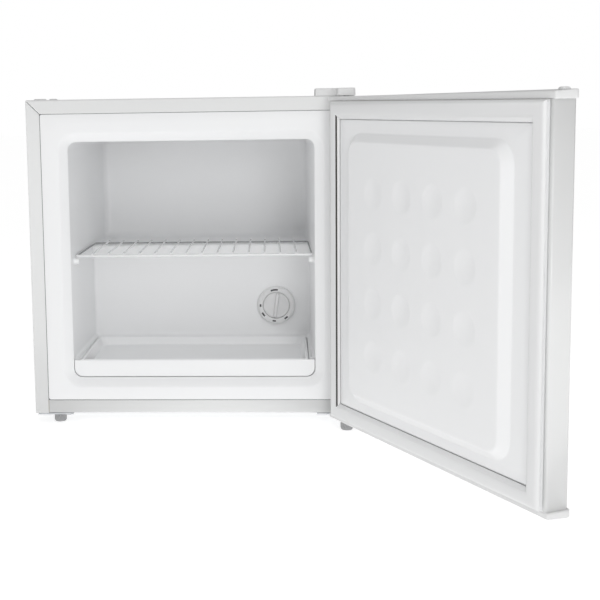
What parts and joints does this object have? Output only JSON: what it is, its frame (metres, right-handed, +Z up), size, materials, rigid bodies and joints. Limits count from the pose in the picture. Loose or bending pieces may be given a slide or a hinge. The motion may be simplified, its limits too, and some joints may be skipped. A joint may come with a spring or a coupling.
{
  "type": "compact table-top freezer",
  "caption": "Compact table-top freezer with a right-hinged front door, wire shelf, shallow pull-out tray, thermostat dial and levelling feet.",
  "frame": {"origin": "on the floor, below the middle of the cabinet's front plane", "axes": "+Z up, front faces -Y, +X towards the hinge side (the right, seen from the front)"},
  "size_m": [0.6799, 0.8548, 0.4865],
  "materials": {
    "white_paint": "satin",
    "liner_plastic": "satin",
    "white_plastic": "satin",
    "gasket_rubber": "matte",
    "shelf_wire": "gloss",
    "zinc_steel": "satin",
    "black_paint": "satin",
    "black_rubber": "matte",
    "black_plastic": "satin",
    "copper": "satin",
    "aluminium_sheet": "satin",
    "insulation": "matte",
    "magnet": "matte",
    "foot_plastic": "satin"
  },
  "bodies": {
    "cabinet": {"cabinet_wrap": "white_paint", "front_rail": "white_paint", "base_pan": "zinc_steel", "rear_panel": "white_paint", "inner_liner": "liner_plastic", "insulation_foam": "insulation", "evaporator_plate": "aluminium_sheet", "evaporator_tube": "aluminium_sheet", "suction_tube": "copper", "capillary_tube": "copper", "filter_drier": "copper", "discharge_tube": "copper", "condenser_return_tube": "copper", "condenser": "black_paint", "condenser_clips": "black_plastic", "compressor": "black_paint", "compressor_plate": "zinc_steel", "compressor_grommets": "black_rubber", "start_relay_box": "black_plastic", "cord_gland": "black_plastic", "thermostat": "black_plastic", "dial_bezel": "white_plastic", "shelf_pegs": "white_plastic", "upper_hinge_bracket": "zinc_steel", "upper_hinge_pin": "zinc_steel", "hinge_cover": "white_plastic", "lower_hinge_bracket": "zinc_steel", "lower_hinge_pin": "zinc_steel", "left_foot_plate": "zinc_steel", "hinge_screws": "zinc_steel", "hinge_hole_plugs": "white_plastic", "rear_panel_screws": "zinc_steel", "wall_spacers": "black_plastic", "rear_feet": "foot_plastic"},
    "door": {"door_skin": "white_paint", "door_top_cap": "white_plastic", "door_bottom_cap": "white_plastic", "door_upper_bush": "white_plastic", "door_lower_bush": "white_plastic", "door_inner_panel": "liner_plastic", "door_foam": "insulation", "door_gasket": "gasket_rubber", "gasket_magnets": "magnet"},
    "knob": {"thermostat_knob": "white_plastic", "thermostat_shaft": "zinc_steel"},
    "shelf": {"wire_shelf": "shelf_wire"},
    "tray": {"storage_tray": "liner_plastic"},
    "foot_left": {"front_foot_left": "foot_plastic"},
    "foot_right": {"front_foot_right": "foot_plastic"}
  },
  "joints": [
    {"name": "door_hinge", "type": "hinge", "parent": "cabinet", "child": "door", "pos_m": [0.2218, -0.0288, 0.245], "axis": [0, 0, 1], "range_deg": [-117.4, 12.6]},
    {"name": "knob_turn", "type": "hinge", "parent": "cabinet", "child": "knob", "pos_m": [0.1204, 0.196, 0.1431], "axis": [0, -1, 0], "range_deg": [-120, 150]},
    {"name": "shelf_slide", "type": "slide", "parent": "cabinet", "child": "shelf", "axis": [0, -1, 0], "range_m": [0, 0.18]},
    {"name": "tray_slide", "type": "slide", "parent": "cabinet", "child": "tray", "axis": [0, -1, 0], "range_m": [0, 0.18]},
    {"name": "left_foot_turn", "type": "hinge", "parent": "cabinet", "child": "foot_left", "pos_m": [-0.202, 0.018, 0], "axis": [0, 0, 1], "range_deg": [-180, 180]},
    {"name": "right_foot_turn", "type": "hinge", "parent": "cabinet", "child": "foot_right", "pos_m": [0.2218, -0.0288, 0], "axis": [0, 0, 1], "range_deg": [-180, 180]}
  ]
}
